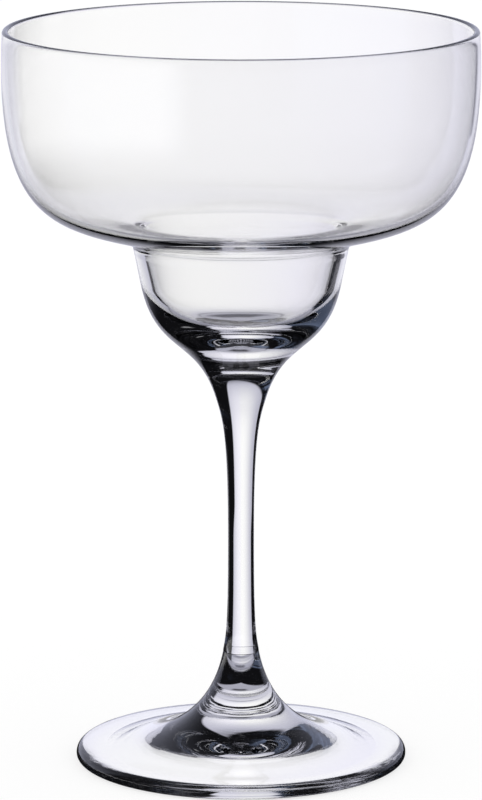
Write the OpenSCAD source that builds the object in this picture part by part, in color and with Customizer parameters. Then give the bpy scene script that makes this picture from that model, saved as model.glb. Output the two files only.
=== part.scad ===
// Margarita glass: a wide bowl that steps down into a small round well, a drawn stem and a pressed foot.
// The three gathers of glass are welded hot, end to end. Lengths are millimetres and angles degrees.
// The foot stands on z = 0, and Z is the axis that every piece is round about.

/* [Foot] */
// Diameter of the foot
foot_d = 77.4; // [70:0.1:86]
// Thickness of the foot at its edge
edge_t = 3.2; // [3.1:0.1:4.5]
// Radius of the edge's upper round
edge_top_round = 1.9; // [0.8:0.1:2]
// Radius of the edge's lower round
edge_low_round = 1.2; // [0.5:0.1:1.3]
// Width of the nearly flat ring round the top of the foot
ring_w = 6; // [4:0.1:12]
// Slope of that ring, rising towards the stem
ring_slope = 3.6; // [2:0.1:8]
// Width of the flat ring that the foot stands on
seat_w = 5.7; // [4:0.1:9]
// Height of the hollow under the foot
hollow_h = 4.5; // [2:0.1:5]
// Slope of the hollow where it leaves the flat ring
hollow_slope = 9; // [5:0.5:12]
// Height of the foot, from the table to the lower weld
foot_h = 25.5; // [22:0.5:32]
// Inward lean of the foot's neck at the lower weld
neck_lean = 11; // [8:1:20]
// How far the foot's curve follows the flat ring, as a share of the curve's span
ring_pull = 0.455; // [0.35:0.005:0.6]
// How far the foot's curve follows the neck, as a share of the curve's span
neck_pull = 0.387; // [0.35:0.001:0.55]

/* [Stem] */
// Length of the stem, from weld to weld
stem_len = 60.5; // [48:0.5:80]
// Diameter at the lower weld
lower_weld_d = 8.4; // [7.5:0.1:10]
// Diameter of the waist, the thinnest place
waist_d = 6.05; // [5:0.05:7]
// Height of the waist above the lower weld
waist_h = 26.5; // [20:0.5:34]
// Diameter at the upper weld
upper_weld_d = 11.7; // [9.5:0.1:13]
// Inward lean of the stem at the lower weld
stem_low_lean = 8; // [4:1:12]
// Outward lean of the stem at the upper weld
stem_top_lean = 17; // [12:1:22]
// How far the stem's lower curve follows its lean at the weld
low_pull = 0.12; // [0.05:0.01:0.25]
// How far the stem's lower curve stays upright at the waist
low_waist_pull = 0.88; // [0.6:0.01:0.95]
// How far the stem's upper curve stays upright at the waist
top_waist_pull = 0.75; // [0.6:0.01:0.8]
// How far the stem's upper curve follows its lean at the weld
top_pull = 0.16; // [0.05:0.01:0.25]
// Depth of the crease that the lower weld leaves round the glass
weld_crease = 0.1; // [0.05:0.05:0.3]

/* [Well] */
// Solid glass between the upper weld and the floor of the well
base_t = 15.2; // [14:0.1:18]
// Outer diameter of the well where its round bottom meets its wall
well_d = 46.2; // [42:0.1:48]
// Height of that place above the upper weld
well_round_h = 26.5; // [24:0.5:29]
// Outer diameter of the well at the step, in the corner under the bowl
step_d = 50.2; // [48.5:0.1:56]
// Height of the step's corner above the upper weld
step_h = 36.3; // [32:0.1:44]
// How far the rounding of the step's corner runs along the wall and the floor
step_round = 0.9; // [0.6:0.1:2]
// Wall of the well at its round bottom
well_wall = 2.9; // [2:0.1:3.6]
// Wall of the well below the crest, where the inside rounds over into the bowl's floor
crest_wall = 2.8; // [2:0.1:3.4]
// How far the crest's rounding reaches below the step's corner
crest_drop = 2.2; // [1:0.1:6]
// How far the well's outer curve follows the stem
base_pull = 0.48; // [0.4:0.01:0.6]
// How far the well's outer curve follows the wall
round_pull = 0.5; // [0.4:0.01:0.6]
// How far the inside of the well follows the wall
inside_pull = 0.33; // [0.2:0.01:0.55]
// How far the inside of the well follows its flat floor
floor_pull = 0.5; // [0.4:0.01:0.7]

/* [Bowl] */
// Outer diameter at the rim
rim_d = 109.4; // [98:0.1:118]
// Height of the bowl, from the step's corner to the rim
bowl_h = 49.7; // [42:0.1:58]
// Thickness of the fire-polished lip
lip_t = 1.5; // [1.2:0.05:2]
// Wall under the lip, where it is thinnest
side_wall = 1.2; // [1:0.05:1.6]
// Wall at the floor of the bowl, next to the step
floor_wall = 2.3; // [1.8:0.1:3.5]
// Lean of the bowl's floor at the step, from vertical
floor_lean = 62; // [56:1:68]
// Inward lean of the bowl at the rim
rim_lean = 3; // [0:0.5:4]
// How far the bowl's curve follows the floor
shoulder_pull = 0.24; // [0.15:0.01:0.3]
// How far the bowl's curve follows the rim
side_pull = 0.88; // [0.75:0.01:0.92]
// How far the crest follows the bowl's floor
crest_floor_pull = 0.64; // [0.3:0.01:0.7]
// How far the crest follows the well's wall
crest_wall_pull = 0.15; // [0.12:0.01:0.3]

/* [Hidden] */

// Steps in a curve and in a small round
curve_steps = 28;
round_steps = 8;
// Facets round the axis
turn = 120;
// Where a corner's handles lie, on the way to the corner, for a round close to a circle's
corner_share = 0.55;
// An even bow is a curve whose ends follow their leans for a third of its span
even_pull = 1 / 3;
// How quickly the bowl's wall thins above the floor, and how quickly the lip swells below the rim
thinning = 1.6;
lip_swell = 40;
clear_glass = [0.88, 0.89, 0.93, 0.45];

lower_weld_z = foot_h;
upper_weld_z = lower_weld_z + stem_len;
step_z = upper_weld_z + step_h;
rim_z = step_z + bowl_h;
lower_weld_r = lower_weld_d / 2;
upper_weld_r = upper_weld_d / 2;
foot_r = foot_d / 2;
lip_r = lip_t / 2;

// A step of a given length in a direction that leans from vertical, outwards if positive
function lean_step(lean, reach) = reach * [sin(lean), cos(lean)];

// The lean of the way from one point to another
function lean_between(start, finish) = atan2(finish[0] - start[0], finish[1] - start[1]);

// The four handles of a curve that leaves one point and meets another at given leans.
// A pull is the share of the span for which the curve follows its lean.
function bow(start, lean_a, pull_a, finish, lean_b, pull_b) =
    let (span = norm(finish - start))
    [start, start + lean_step(lean_a, pull_a * span), finish - lean_step(lean_b, pull_b * span), finish];

// The place on a curve, and the direction there, at t from 0 to 1
function place(c, t) =
    pow(1 - t, 3) * c[0] + 3 * pow(1 - t, 2) * t * c[1] + 3 * (1 - t) * t * t * c[2] + pow(t, 3) * c[3];
function heading(c, t) =
    let (v = pow(1 - t, 2) * (c[1] - c[0]) + 2 * (1 - t) * t * (c[2] - c[1]) + t * t * (c[3] - c[2]))
    v / norm(v);

// The bowl's wall at t along its side, from the floor to the rim
function wall_at(t) =
    side_wall + (floor_wall - side_wall) * pow(1 - t, thinning) + (lip_t - side_wall) * pow(t, lip_swell);

// The place on the inside of the bowl's wall
function inside(c, t) = let (h = heading(c, t)) place(c, t) + wall_at(t) * [-h[1], h[0]];

// A curve's points after its first
function trace(c) = [for (i = [1:curve_steps]) place(c, i / curve_steps)];

// A circle's points from one angle to another, measured from the radius
function arc(centre, r, from, to) =
    [for (i = [0:round_steps]) let (a = from + (to - from) * i / round_steps) centre + r * [cos(a), sin(a)]];

module turned(outline) {
    color(clear_glass)
        rotate_extrude($fn = turn)
            polygon(outline);
}

// The pressed foot: a flat seat round a hollow, a rounded edge, and a neck that rises to the lower weld
module foot() {
    seat_r = foot_r - edge_low_round - seat_w;
    ring_r = foot_r - ring_w;
    top_round_end = [foot_r - edge_top_round, edge_t - edge_top_round] + lean_step(ring_slope, edge_top_round);
    ring_end = [ring_r, top_round_end[1] + (top_round_end[0] - ring_r) * tan(ring_slope)];
    neck_end = [lower_weld_r, lower_weld_z - weld_crease];
    turned(concat(
        [[0, hollow_h]],
        trace(bow([0, hollow_h], 90, even_pull, [seat_r, 0], 90 + hollow_slope, even_pull)),
        arc([foot_r - edge_low_round, edge_low_round], edge_low_round, -90, 0),
        arc([foot_r - edge_top_round, edge_t - edge_top_round], edge_top_round, 0, 90 - ring_slope),
        [ring_end],
        trace(bow(ring_end, ring_slope - 90, ring_pull, neck_end, -neck_lean, neck_pull)),
        [[lower_weld_r - weld_crease, lower_weld_z], [0, lower_weld_z]]));
}

// The drawn stem: a solid rod that swells from its waist to both welds
module stem() {
    low_end = [lower_weld_r, lower_weld_z + weld_crease];
    waist = [waist_d / 2, lower_weld_z + waist_h];
    top_end = [upper_weld_r, upper_weld_z];
    turned(concat(
        [[0, lower_weld_z], [lower_weld_r - weld_crease, lower_weld_z], low_end],
        trace(bow(low_end, -stem_low_lean, low_pull, waist, 0, low_waist_pull)),
        trace(bow(waist, 0, top_waist_pull, top_end, stem_top_lean, top_pull)),
        [[0, upper_weld_z]]));
}

// The blown bowl: solid below the well, a stepped wall that thins towards the rim, and a fire-polished lip.
// Outside, the step is a sharp corner. Inside, it is a broad crest from the bowl's floor to the well's wall.
module bowl() {
    base = [upper_weld_r, upper_weld_z];
    wall_low = [well_d / 2, upper_weld_z + well_round_h];
    corner = [step_d / 2, step_z];
    wall_lean = lean_between(wall_low, corner);
    wall_top = corner - lean_step(wall_lean, step_round);
    floor_start = corner + lean_step(floor_lean, step_round);
    rim = [rim_d / 2, rim_z - lip_r * (1 - sin(rim_lean))];
    lip = rim - lip_r * [cos(rim_lean), sin(rim_lean)];
    step_bow = [wall_top, wall_top + corner_share * (corner - wall_top),
        floor_start + corner_share * (corner - floor_start), floor_start];
    side_bow = bow(floor_start, floor_lean, shoulder_pull, rim, -rim_lean, side_pull);

    crest_top = inside(side_bow, 0);
    crest_z = step_z - crest_drop;
    crest_low = [wall_low[0] + (crest_z - wall_low[1]) * tan(wall_lean) - crest_wall / cos(wall_lean), crest_z];
    inner_low = wall_low + well_wall * [-cos(wall_lean), sin(wall_lean)];
    inner_lean = lean_between(crest_low, inner_low);
    well_floor = [0, upper_weld_z + base_t];

    turned(concat(
        [[0, upper_weld_z], base],
        trace(bow(base, stem_top_lean, base_pull, wall_low, wall_lean, round_pull)),
        [for (i = [0:round_steps]) place(step_bow, i / round_steps)],
        trace(side_bow),
        [for (i = [1:round_steps]) let (a = rim_lean + 180 * i / round_steps) lip + lip_r * [cos(a), sin(a)]],
        [for (i = [curve_steps - 1:-1:0]) inside(side_bow, i / curve_steps)],
        trace(bow(crest_top, floor_lean - 180, crest_floor_pull, crest_low, inner_lean, crest_wall_pull)),
        [inner_low],
        trace(bow(inner_low, inner_lean, inside_pull, well_floor, 270, floor_pull))));
}

foot();
stem();
bowl();
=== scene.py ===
import math

import bpy
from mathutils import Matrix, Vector


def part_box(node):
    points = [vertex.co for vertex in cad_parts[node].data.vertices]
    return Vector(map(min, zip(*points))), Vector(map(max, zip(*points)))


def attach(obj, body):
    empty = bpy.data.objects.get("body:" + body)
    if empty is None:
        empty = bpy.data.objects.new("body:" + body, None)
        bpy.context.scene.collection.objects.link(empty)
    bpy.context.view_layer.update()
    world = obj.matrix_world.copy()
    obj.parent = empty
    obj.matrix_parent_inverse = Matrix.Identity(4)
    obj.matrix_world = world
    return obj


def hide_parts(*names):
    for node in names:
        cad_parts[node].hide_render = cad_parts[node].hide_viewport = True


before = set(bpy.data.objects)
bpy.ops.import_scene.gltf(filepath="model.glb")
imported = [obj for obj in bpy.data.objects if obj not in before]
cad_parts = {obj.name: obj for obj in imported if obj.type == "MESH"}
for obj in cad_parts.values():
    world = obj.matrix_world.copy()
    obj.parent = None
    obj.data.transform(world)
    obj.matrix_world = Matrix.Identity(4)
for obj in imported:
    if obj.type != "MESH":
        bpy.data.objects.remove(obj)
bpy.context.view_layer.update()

# Foot: a gather of clear soda-lime glass, pressed and spun into a round foot with a fire-polished edge.
# It stands on a flat ring round a shallow hollow, and its neck rises to the weld with the stem.
foot_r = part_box("foot")[1].x
edge_t = 0.0032
edge_top_round = 0.0019
edge_low_round = 0.0012
ring_w = 0.006
ring_slope = 3.6
seat_w = 0.0057
hollow_h = 0.0045
hollow_slope = 9
neck_lean = 11
ring_pull = 0.455
neck_pull = 0.387
lower_weld_r = 0.0042
lower_weld_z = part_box("foot")[1].z
weld_crease = 0.0001
even_pull = 1 / 3
turns = 256
curve_steps = 64
round_steps = 12
smooth_below = 30
glass_ior = 1.52
skin_roughness = 0.01
seat_roughness = 0.12
mould_ring_pitch = 0.0014
mould_ring_depth = 2e-6
wave_node_rate = 20
mould_mark_soft = 0.0002
scuff_scale = 1200
faint_cast = (0.992, 0.99, 1.0, 1)
nearly_clear = (0.999, 0.998, 1.0, 1)


def lean_step(lean, reach):
    """A step of that length in a direction that leans outwards from upright, in degrees."""
    return reach * Vector((math.sin(math.radians(lean)), math.cos(math.radians(lean))))


def bow(start, lean_a, pull_a, finish, lean_b, pull_b):
    """The four handles of a curve that leaves start and meets finish at those leans."""
    span = (finish - start).length
    return start, start + lean_step(lean_a, pull_a * span), finish - lean_step(lean_b, pull_b * span), finish


def place(c, t):
    """The point at t, from 0 to 1, along a curve with those handles."""
    return (1 - t) ** 3 * c[0] + 3 * (1 - t) ** 2 * t * c[1] + 3 * (1 - t) * t * t * c[2] + t ** 3 * c[3]


def trace(c):
    """A curve's points after its first."""
    return [place(c, i / curve_steps) for i in range(1, curve_steps + 1)]


def arc(centre, r, start, end):
    """A circle's points from one angle to another, measured from the radius."""
    angles = [math.radians(start + (end - start) * i / round_steps) for i in range(round_steps + 1)]
    return [centre + r * Vector((math.cos(a), math.sin(a))) for a in angles]


def turned(name, outline):
    """Draws half the outline by extruding one vertex from point to point, and spins it round the axis."""
    bpy.ops.object.select_all(action="DESELECT")
    bpy.ops.mesh.primitive_plane_add(size=foot_r)
    piece = bpy.context.object
    piece.name = name
    piece.data.name = name
    bpy.ops.object.mode_set(mode="EDIT")
    bpy.ops.mesh.merge(type="CENTER")
    here = Vector((0, 0))
    for point in outline:
        step = point - here
        if point is outline[0]:
            bpy.ops.transform.translate(value=(step.x, 0, step.y))
        else:
            bpy.ops.mesh.extrude_region_move(TRANSFORM_OT_translate={"value": (step.x, 0, step.y)})
        here = point
    bpy.ops.mesh.select_all(action="SELECT")
    bpy.ops.mesh.spin(steps=turns, angle=math.tau, center=(0, 0, 0), axis=(0, 0, 1))
    bpy.ops.mesh.select_all(action="SELECT")
    bpy.ops.mesh.remove_doubles(threshold=1e-6)
    bpy.ops.mesh.normals_make_consistent(inside=False)
    bpy.ops.object.mode_set(mode="OBJECT")
    bpy.ops.object.shade_smooth_by_angle(angle=math.radians(smooth_below))
    return piece


class Wire:
    """One output of a node. Sums and products of wires add Math nodes."""

    def __init__(self, tree, socket=None):
        self.tree = tree
        self.socket = socket

    def plug(self, target, value):
        if isinstance(value, Wire):
            self.tree.links.new(value.socket, target)
        else:
            target.default_value = value

    def node(self, kind, settings=(), sockets=(), out=0):
        """Adds a node: its settings first, then the values or links of its sockets."""
        made = self.tree.nodes.new(kind)
        for name, value in dict(settings).items():
            setattr(made, name, value)
        for name, value in dict(sockets).items():
            self.plug(made.inputs[name], value)
        return Wire(self.tree, made.outputs[out] if made.outputs else None)

    def maths(self, operation, first, second):
        return self.node("ShaderNodeMath", {"operation": operation}, {0: first, 1: second})

    def __add__(self, other):
        return self.maths("ADD", self, other)

    __radd__ = __add__

    def __mul__(self, other):
        return self.maths("MULTIPLY", self, other)

    __rmul__ = __mul__

    def __sub__(self, other):
        return self.maths("SUBTRACT", self, other)

    def __rsub__(self, other):
        return self.maths("SUBTRACT", other, self)


def blank_material(name):
    """A material without nodes, and a wire to start its tree from."""
    material = bpy.data.materials.new(name)
    material.use_nodes = True
    material.node_tree.nodes.clear()
    return material, Wire(material.node_tree)


def blend(wire, share, first, second):
    """A colour between two others."""
    return wire.node("ShaderNodeMix", {"data_type": "RGBA"}, {"Factor": share, 6: first, 7: second}, out=2)


def rises(value, low, high):
    """From 0 below low to 1 above high, smoothly."""
    return value.node("ShaderNodeMapRange", {"interpolation_type": "SMOOTHSTEP"}, {
        "Value": value, "From Min": low, "From Max": high, "To Min": 0.0, "To Max": 1.0})


def parts(vector):
    """The three parts of a vector, and its length on the level."""
    split = vector.node("ShaderNodeSeparateXYZ", {}, {"Vector": vector}).socket.node
    x, y, z = (Wire(vector.tree, out) for out in split.outputs)
    return x, y, z, vector.maths("SQRT", x * x + y * y, 0)


def mould_marks(here):
    """Fine rings that the turned mould left in the hollow, and scuffs where the flat ring meets tables."""
    x, y, z, radius = parts(here)
    rings = here.node("ShaderNodeTexWave", {"wave_type": "RINGS", "rings_direction": "Z"}, {
        "Vector": here, "Scale": math.tau / wave_node_rate / mould_ring_pitch})
    below_top = 1 - rises(z, hollow_h, hollow_h + mould_mark_soft)
    in_hollow = below_top * (1 - rises(radius, seat_r - ring_w, seat_r))
    scuffs = here.node("ShaderNodeTexNoise", {}, {"Vector": here, "Scale": scuff_scale, "Detail": 2.0})
    on_seat = 1 - rises(z, 0.0, mould_mark_soft)
    return rings * in_hollow * mould_ring_depth, scuffs * on_seat * seat_roughness


def clear_glass(name, ripple_scale, ripple_depth, marks=None):
    """Clear glass whose fire-polished skin keeps the faint ripple of how the piece was worked."""
    material, start = blank_material(name)
    here = start.node("ShaderNodeTexCoord", out="Object")
    ripple = start.node("ShaderNodeMapping", {}, {"Vector": here, "Scale": ripple_scale})
    waves = start.node("ShaderNodeTexNoise", {}, {"Vector": ripple, "Scale": 1.0, "Detail": 1.0})
    height, roughness = waves * ripple_depth, waves * skin_roughness
    if marks:
        mark_height, mark_roughness = marks(here)
        height, roughness = height + mark_height, roughness + mark_roughness
    skin = start.node("ShaderNodeBump", {}, {"Height": height, "Strength": 1.0, "Distance": 1.0})
    tint = blend(start, waves, faint_cast, nearly_clear)
    shader = start.node("ShaderNodeBsdfPrincipled", {}, {
        "Base Color": tint, "Roughness": roughness, "IOR": glass_ior, "Transmission Weight": 1.0,
        "Normal": skin})
    start.node("ShaderNodeOutputMaterial", {}, {"Surface": shader})
    return material


def weld_material():
    """Where two gathers have run together there is no surface left, so light goes straight through."""
    material, start = blank_material("weld_face")
    shader = start.node("ShaderNodeBsdfPrincipled", {}, {"Base Color": (1, 1, 1, 1), "Alpha": 0.0})
    start.node("ShaderNodeOutputMaterial", {}, {"Surface": shader})
    return material


weld = weld_material()


def finish_piece(piece, node, glass, weld_heights):
    """Gives a piece its glass and its weld faces, and sets it in place of its node."""
    piece.data.materials.append(glass)
    piece.data.materials.append(weld)
    for face in piece.data.polygons:
        level = abs(face.normal.z) > 0.999
        if level and any(abs(face.center.z - z) < 1e-6 for z in weld_heights):
            face.material_index = 1
    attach(piece, "root")
    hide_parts(node)


seat_r = foot_r - edge_low_round - seat_w
ring_r = foot_r - ring_w
top_round = Vector((foot_r - edge_top_round, edge_t - edge_top_round))
top_round_end = top_round + lean_step(ring_slope, edge_top_round)
ring_end = Vector((ring_r, top_round_end.y + (top_round_end.x - ring_r) * math.tan(math.radians(ring_slope))))
neck_end = Vector((lower_weld_r, lower_weld_z - weld_crease))
hollow_top = Vector((0, hollow_h))
foot = turned("foot_glass", [
    hollow_top,
    *trace(bow(hollow_top, 90, even_pull, Vector((seat_r, 0)), 90 + hollow_slope, even_pull)),
    *arc(Vector((foot_r - edge_low_round, edge_low_round)), edge_low_round, -90, 0),
    *arc(top_round, edge_top_round, 0, 90 - ring_slope),
    ring_end,
    *trace(bow(ring_end, ring_slope - 90, ring_pull, neck_end, -neck_lean, neck_pull)),
    Vector((lower_weld_r - weld_crease, lower_weld_z)),
    Vector((0, lower_weld_z)),
])
finish_piece(foot, "foot", clear_glass("pressed_glass", (60, 60, 60), 1e-6, mould_marks), [lower_weld_z])

# Stem: a solid rod of the same glass, drawn out hot so that it is thinnest near its middle.
# It is welded to the foot's neck below, where the weld left a faint crease, and to the bowl's base above.
waist_r = 0.003025
waist_h = 0.0265
upper_weld_r = 0.00585
upper_weld_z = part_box("stem")[1].z
stem_low_lean = 8
stem_top_lean = 17
low_pull = 0.12
low_waist_pull = 0.88
top_waist_pull = 0.75
top_pull = 0.16
low_end = Vector((lower_weld_r, lower_weld_z + weld_crease))
waist = Vector((waist_r, lower_weld_z + waist_h))
top_end = Vector((upper_weld_r, upper_weld_z))
stem = turned("stem_glass", [
    Vector((0, lower_weld_z)),
    Vector((lower_weld_r - weld_crease, lower_weld_z)),
    low_end,
    *trace(bow(low_end, -stem_low_lean, low_pull, waist, 0, low_waist_pull)),
    *trace(bow(waist, 0, top_waist_pull, top_end, stem_top_lean, top_pull)),
    Vector((0, upper_weld_z)),
])
finish_piece(stem, "stem", clear_glass("drawn_glass", (300, 300, 12), 2e-7), [lower_weld_z, upper_weld_z])

# Bowl: a blown bubble of the same glass, solid at its base, with a round well, a step and a wide upper bowl.
# Its wall thins above the step, and its cut rim was melted to a round lip a little thicker than the wall.
base_t = 0.0152
well_r = 0.0231
well_round_h = 0.0265
step_r = 0.0251
step_h = 0.0363
step_round = 0.0009
well_wall = 0.0029
crest_wall = 0.0028
crest_drop = 0.0022
base_pull = 0.48
round_pull = 0.5
inside_pull = 0.33
floor_pull = 0.5
rim_r = 0.0547
lip_t = 0.0015
side_wall = 0.0012
floor_wall = 0.0023
floor_lean = 62
rim_lean = 3
shoulder_pull = 0.24
side_pull = 0.88
crest_floor_pull = 0.64
crest_wall_pull = 0.15
corner_share = 0.55
thinning = 1.6
lip_swell = 40
rim_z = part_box("bowl")[1].z


def lean_between(start, finish):
    """The lean of the way from one point to another."""
    return math.degrees(math.atan2(finish.x - start.x, finish.y - start.y))


def heading(c, t):
    """The curve's direction at t."""
    way = (1 - t) ** 2 * (c[1] - c[0]) + 2 * (1 - t) * t * (c[2] - c[1]) + t * t * (c[3] - c[2])
    return way.normalized()


def inside(c, t):
    """The place on the inside of the bowl's wall, at t from the floor to the rim."""
    wall = side_wall + (floor_wall - side_wall) * (1 - t) ** thinning
    wall += (lip_t - side_wall) * t ** lip_swell
    h = heading(c, t)
    return place(c, t) + wall * Vector((-h.y, h.x))


base = Vector((upper_weld_r, upper_weld_z))
wall_low = Vector((well_r, upper_weld_z + well_round_h))
corner = Vector((step_r, upper_weld_z + step_h))
wall_lean = lean_between(wall_low, corner)
wall_out = Vector((math.cos(math.radians(wall_lean)), -math.sin(math.radians(wall_lean))))
wall_top = corner - lean_step(wall_lean, step_round)
floor_start = corner + lean_step(floor_lean, step_round)
lip_r = lip_t / 2
rim = Vector((rim_r, rim_z - lip_r * (1 - math.sin(math.radians(rim_lean)))))
lip = rim - lip_r * Vector((math.cos(math.radians(rim_lean)), math.sin(math.radians(rim_lean))))
step_bow = (
    wall_top, wall_top.lerp(corner, corner_share),
    floor_start.lerp(corner, corner_share), floor_start)
side_bow = bow(floor_start, floor_lean, shoulder_pull, rim, -rim_lean, side_pull)

crest_top = inside(side_bow, 0)
crest_height = corner.y - crest_drop - wall_low.y
crest_low = wall_low + lean_step(wall_lean, crest_height / math.cos(math.radians(wall_lean)))
crest_low.x -= crest_wall / math.cos(math.radians(wall_lean))
inner_low = wall_low - well_wall * wall_out
inner_lean = lean_between(crest_low, inner_low)
well_floor = Vector((0, upper_weld_z + base_t))
bowl = turned("bowl_glass", [
    Vector((0, upper_weld_z)),
    base,
    *trace(bow(base, stem_top_lean, base_pull, wall_low, wall_lean, round_pull)),
    *[place(step_bow, i / round_steps) for i in range(round_steps + 1)],
    *trace(side_bow),
    *arc(lip, lip_r, rim_lean, rim_lean + 180)[1:],
    *[inside(side_bow, i / curve_steps) for i in range(curve_steps - 1, -1, -1)],
    *trace(bow(crest_top, floor_lean - 180, crest_floor_pull, crest_low, inner_lean, crest_wall_pull)),
    inner_low,
    *trace(bow(inner_low, inner_lean, inside_pull, well_floor, 270, floor_pull)),
])
finish_piece(bowl, "bowl", clear_glass("blown_glass", (40, 40, 25), 2e-6), [upper_weld_z])

# Camera: stands a little over a metre from the glass and looks slightly down on it through a long lens.
# Its place, tilt and lens were fitted to the ellipses of the rim and the foot.
camera_label = 225
camera_reach = 1.1284
camera_height = 0.3125
camera_pitch = 11.38
camera_lens = 223.08
turn = math.radians(camera_label)
camera_data = bpy.data.cameras.new("camera")
camera_data.lens = camera_lens
camera_data.sensor_width = 36
camera = bpy.data.objects.new("camera", camera_data)
camera.location = (camera_reach * math.sin(turn), -camera_reach * math.cos(turn), camera_height)
camera.rotation_euler = (math.radians(90 - camera_pitch), 0, turn)
bpy.context.scene.collection.objects.link(camera)
bpy.context.scene.camera = camera

# Table: a broad white sheet that the glass stands on. It comes out white from an even glow, plus a faint
# diffuse part that keeps the glass's shadow.
# In the glass's reflections it shows a painted reflection instead: painted shade close by, pale on the paper
# behind, and a painted pool of lamp light farther out at the left.
bpy.ops.object.select_all(action="DESELECT")
bpy.ops.mesh.primitive_plane_add(size=40, location=(0, 0, -0.0002))
table = bpy.context.object
table.name = "table"
behind = math.atan2(-camera.location.y, -camera.location.x)


def between(value, low, high, soft):
    """1 from low to high, and 0 outside, with soft edges."""
    return rises(value, low - soft, low + soft) * (1 - rises(value, high - soft, high + soft))


def bearing(place_or_way):
    """Degrees to the right of straight behind the glass, the height, and the length on the level."""
    ahead = place_or_way.node("ShaderNodeMapping", {}, {
        "Vector": place_or_way, "Rotation": (0, 0, -behind)})
    x, y, z, level = parts(ahead)
    return ahead.maths("ARCTAN2", -1 * y, x) * (180 / math.pi), z, level


def light_path(wire):
    """What kind of ray is looking, by the names of the Light Path node's outputs."""
    found = wire.node("ShaderNodeLightPath").socket.node
    return {out.name: Wire(wire.tree, out) for out in found.outputs}


table_material, start = blank_material("white_table_and_painted_reflection")
around, z, distance = bearing(start.node("ShaderNodeTexCoord", out="Object"))
# The table's colours in the glass's reflections are painted light and shade: near-black painted shade close
# to the glass, a dim sheet farther out, pale paper behind, and a painted pool of lamp light at the left.
unlit = (0.004, 0.004, 0.005, 1)
dim_sheet = (0.3, 0.3, 0.33, 1)
near_paper = (0.6, 0.6, 0.7, 1)
far_paper = (0.6, 0.6, 0.72, 1)
painted_lamp_glow = (2.0, 2.0, 2.0, 1)
behind_glass = between(around, -29, 29, 2) * rises(distance, 0.09, 0.2)
before_paper = between(around, -60, 66, 8) * rises(distance, 0.2, 0.55)
# A painted pool of lamp light on the table far out at the left, where no lamp stands.
painted_lamp_pool = between(around, -150, -48, 10) * rises(distance, 0.28, 0.62)
painted_reflection = blend(start, rises(distance, 0.35, 0.7), unlit, dim_sheet)
painted_reflection = blend(start, behind_glass, painted_reflection, near_paper)
painted_reflection = blend(start, before_paper, painted_reflection, far_paper)
painted_reflection = blend(start, painted_lamp_pool, painted_reflection, painted_lamp_glow)
diffuse = start.node("ShaderNodeBsdfDiffuse", {}, {"Color": (0.3, 0.3, 0.3, 1)})
glow = start.node("ShaderNodeEmission", {}, {"Color": (1, 1, 1, 1), "Strength": 0.72})
both = start.node("ShaderNodeAddShader", {}, {0: diffuse, 1: glow})
# Rays mirrored by the glass see this painted reflection as a glow. All other rays see the evenly white table.
mirrored = start.node("ShaderNodeEmission", {}, {"Color": painted_reflection, "Strength": 1.0})
either = start.node("ShaderNodeMixShader", {}, {
    0: light_path(start)["Is Glossy Ray"], 1: both, 2: mirrored})
start.node("ShaderNodeOutputMaterial", {}, {"Surface": either})
table.data.materials.append(table_material)
table.visible_transmission = False

# Studio: white to the eye, and for light that has met the glass a dark room with a sheet of paper behind it,
# as glass is photographed, so that the edges come out dark and the middle pale.
# Angles are degrees to the right of straight behind the glass, and degrees above level.
world = bpy.data.worlds.new("studio")
bpy.context.scene.world = world
world.use_nodes = True
world.node_tree.nodes.clear()
start = Wire(world.node_tree)
around, z, level = bearing(start.node("ShaderNodeTexCoord", out="Generated"))
lift = start.maths("ARCSINE", z, 0) * (180 / math.pi)
rays = light_path(start)

# The sheet of paper behind the glass, brightest in its middle, and its near part on the table
black = (0.0, 0.0, 0.0, 1)
paper_edge = (0.56, 0.56, 0.66, 1)
paper_warm = (1.07, 1.07, 1.06, 1)
paper_cool = (1.0, 0.99, 1.06, 1)
narrowing = 5.5 * rises(lift, -13, -11.5)
under_top_edge = 1 - rises(lift - 0.5 * around, 36, 44)
on_table = 1 - rises(lift, -42, -38)
upright = between(around + narrowing, -39.5, 26, 1.5) * (1 - on_table) * under_top_edge
near = between(around, -44, 50, 6) * on_table
middle_across = rises(around, -40, -4) * (1 - rises(around, 4, 32))
middle = middle_across * rises(lift, -50, -24) * (1 - rises(lift, -8, 34))
shade = (1 - 0.5 * rises(lift, 24, 48)) * (1 - 0.25 * (1 - rises(lift, -48, -28)))
shadow = between(around, -10, 16, 5) * between(lift, -58, -45, 4)
bright = blend(start, rises(around, -3, 6), paper_warm, paper_cool)
paper = blend(start, middle, paper_edge, bright)
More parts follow.
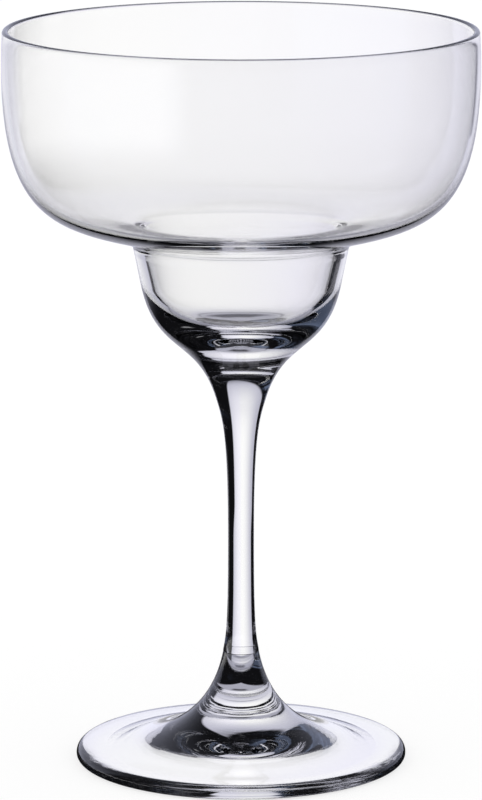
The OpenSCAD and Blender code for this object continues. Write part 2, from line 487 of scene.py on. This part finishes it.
paper = blend(start, shade * (1 - 0.8 * shadow), black, paper)

# The dark room round it, with a slate wall at the left and a pale panel at the right
dark_room = (0.005, 0.005, 0.006, 1)
slate = (0.12, 0.15, 0.23, 1)
pale_panel = (0.24, 0.24, 0.25, 1)
wall = between(around, -152, -86, 5) * between(lift, -24, 32, 5) * (1 - 0.5 * rises(lift, -4, 10))
panel = between(around, 60, 76, 3) * between(lift, -26, -6, 4)
room = blend(start, wall, dark_room, slate)
room = blend(start, panel, room, pale_panel)
refracted = blend(start, start.maths("MAXIMUM", upright, near), room, paper)

# The white wall on the far side, behind the glass in the views from there
white_wall = (0.95, 0.95, 1.0, 1)
straight = rays["Is Transmission Ray"] * (1 - start.maths("MINIMUM", rays["Glossy Depth"], 1))
far = (1 - between(around, -112, 112, 6)) * between(lift, -52, 32, 6)
refracted = blend(start, far * straight, refracted, white_wall)

# What the glass mirrors above the table: the paper, fading upwards, and low down a soft lamp at the left
mirrored_paper = (0.74, 0.76, 0.95, 1)
low_lamp = (1.6, 1.6, 1.6, 1)
fading = between(around, -74, 66, 8) * (1 - rises(lift, 0, 65)) * (1 - 0.3 * rises(around, 10, 40))
beside_lamp = between(around, -150, -60, 8) * (1 - rises(lift, 1, 7))
mirrored = blend(start, fading, unlit, mirrored_paper)
mirrored = blend(start, beside_lamp, mirrored, low_lamp)
glass_sees = blend(start, rays["Is Transmission Ray"], mirrored, refracted)
met_glass = start.maths("MAXIMUM", rays["Is Glossy Ray"], rays["Is Transmission Ray"])
white = (1, 1, 1, 1)
colour = blend(start, met_glass, white, glass_sees)
sky = start.node("ShaderNodeBackground", {}, {"Color": colour, "Strength": 1.0})
start.node("ShaderNodeOutputWorld", {}, {"Surface": sky})

# Light goes through many faces of thick glass before it leaves, so it is followed for many steps
scene = bpy.context.scene
scene.view_settings.view_transform = "Standard"
scene.cycles.max_bounces = 32
scene.cycles.transmission_bounces = 32
scene.cycles.glossy_bounces = 16
scene.cycles.transparent_max_bounces = 32
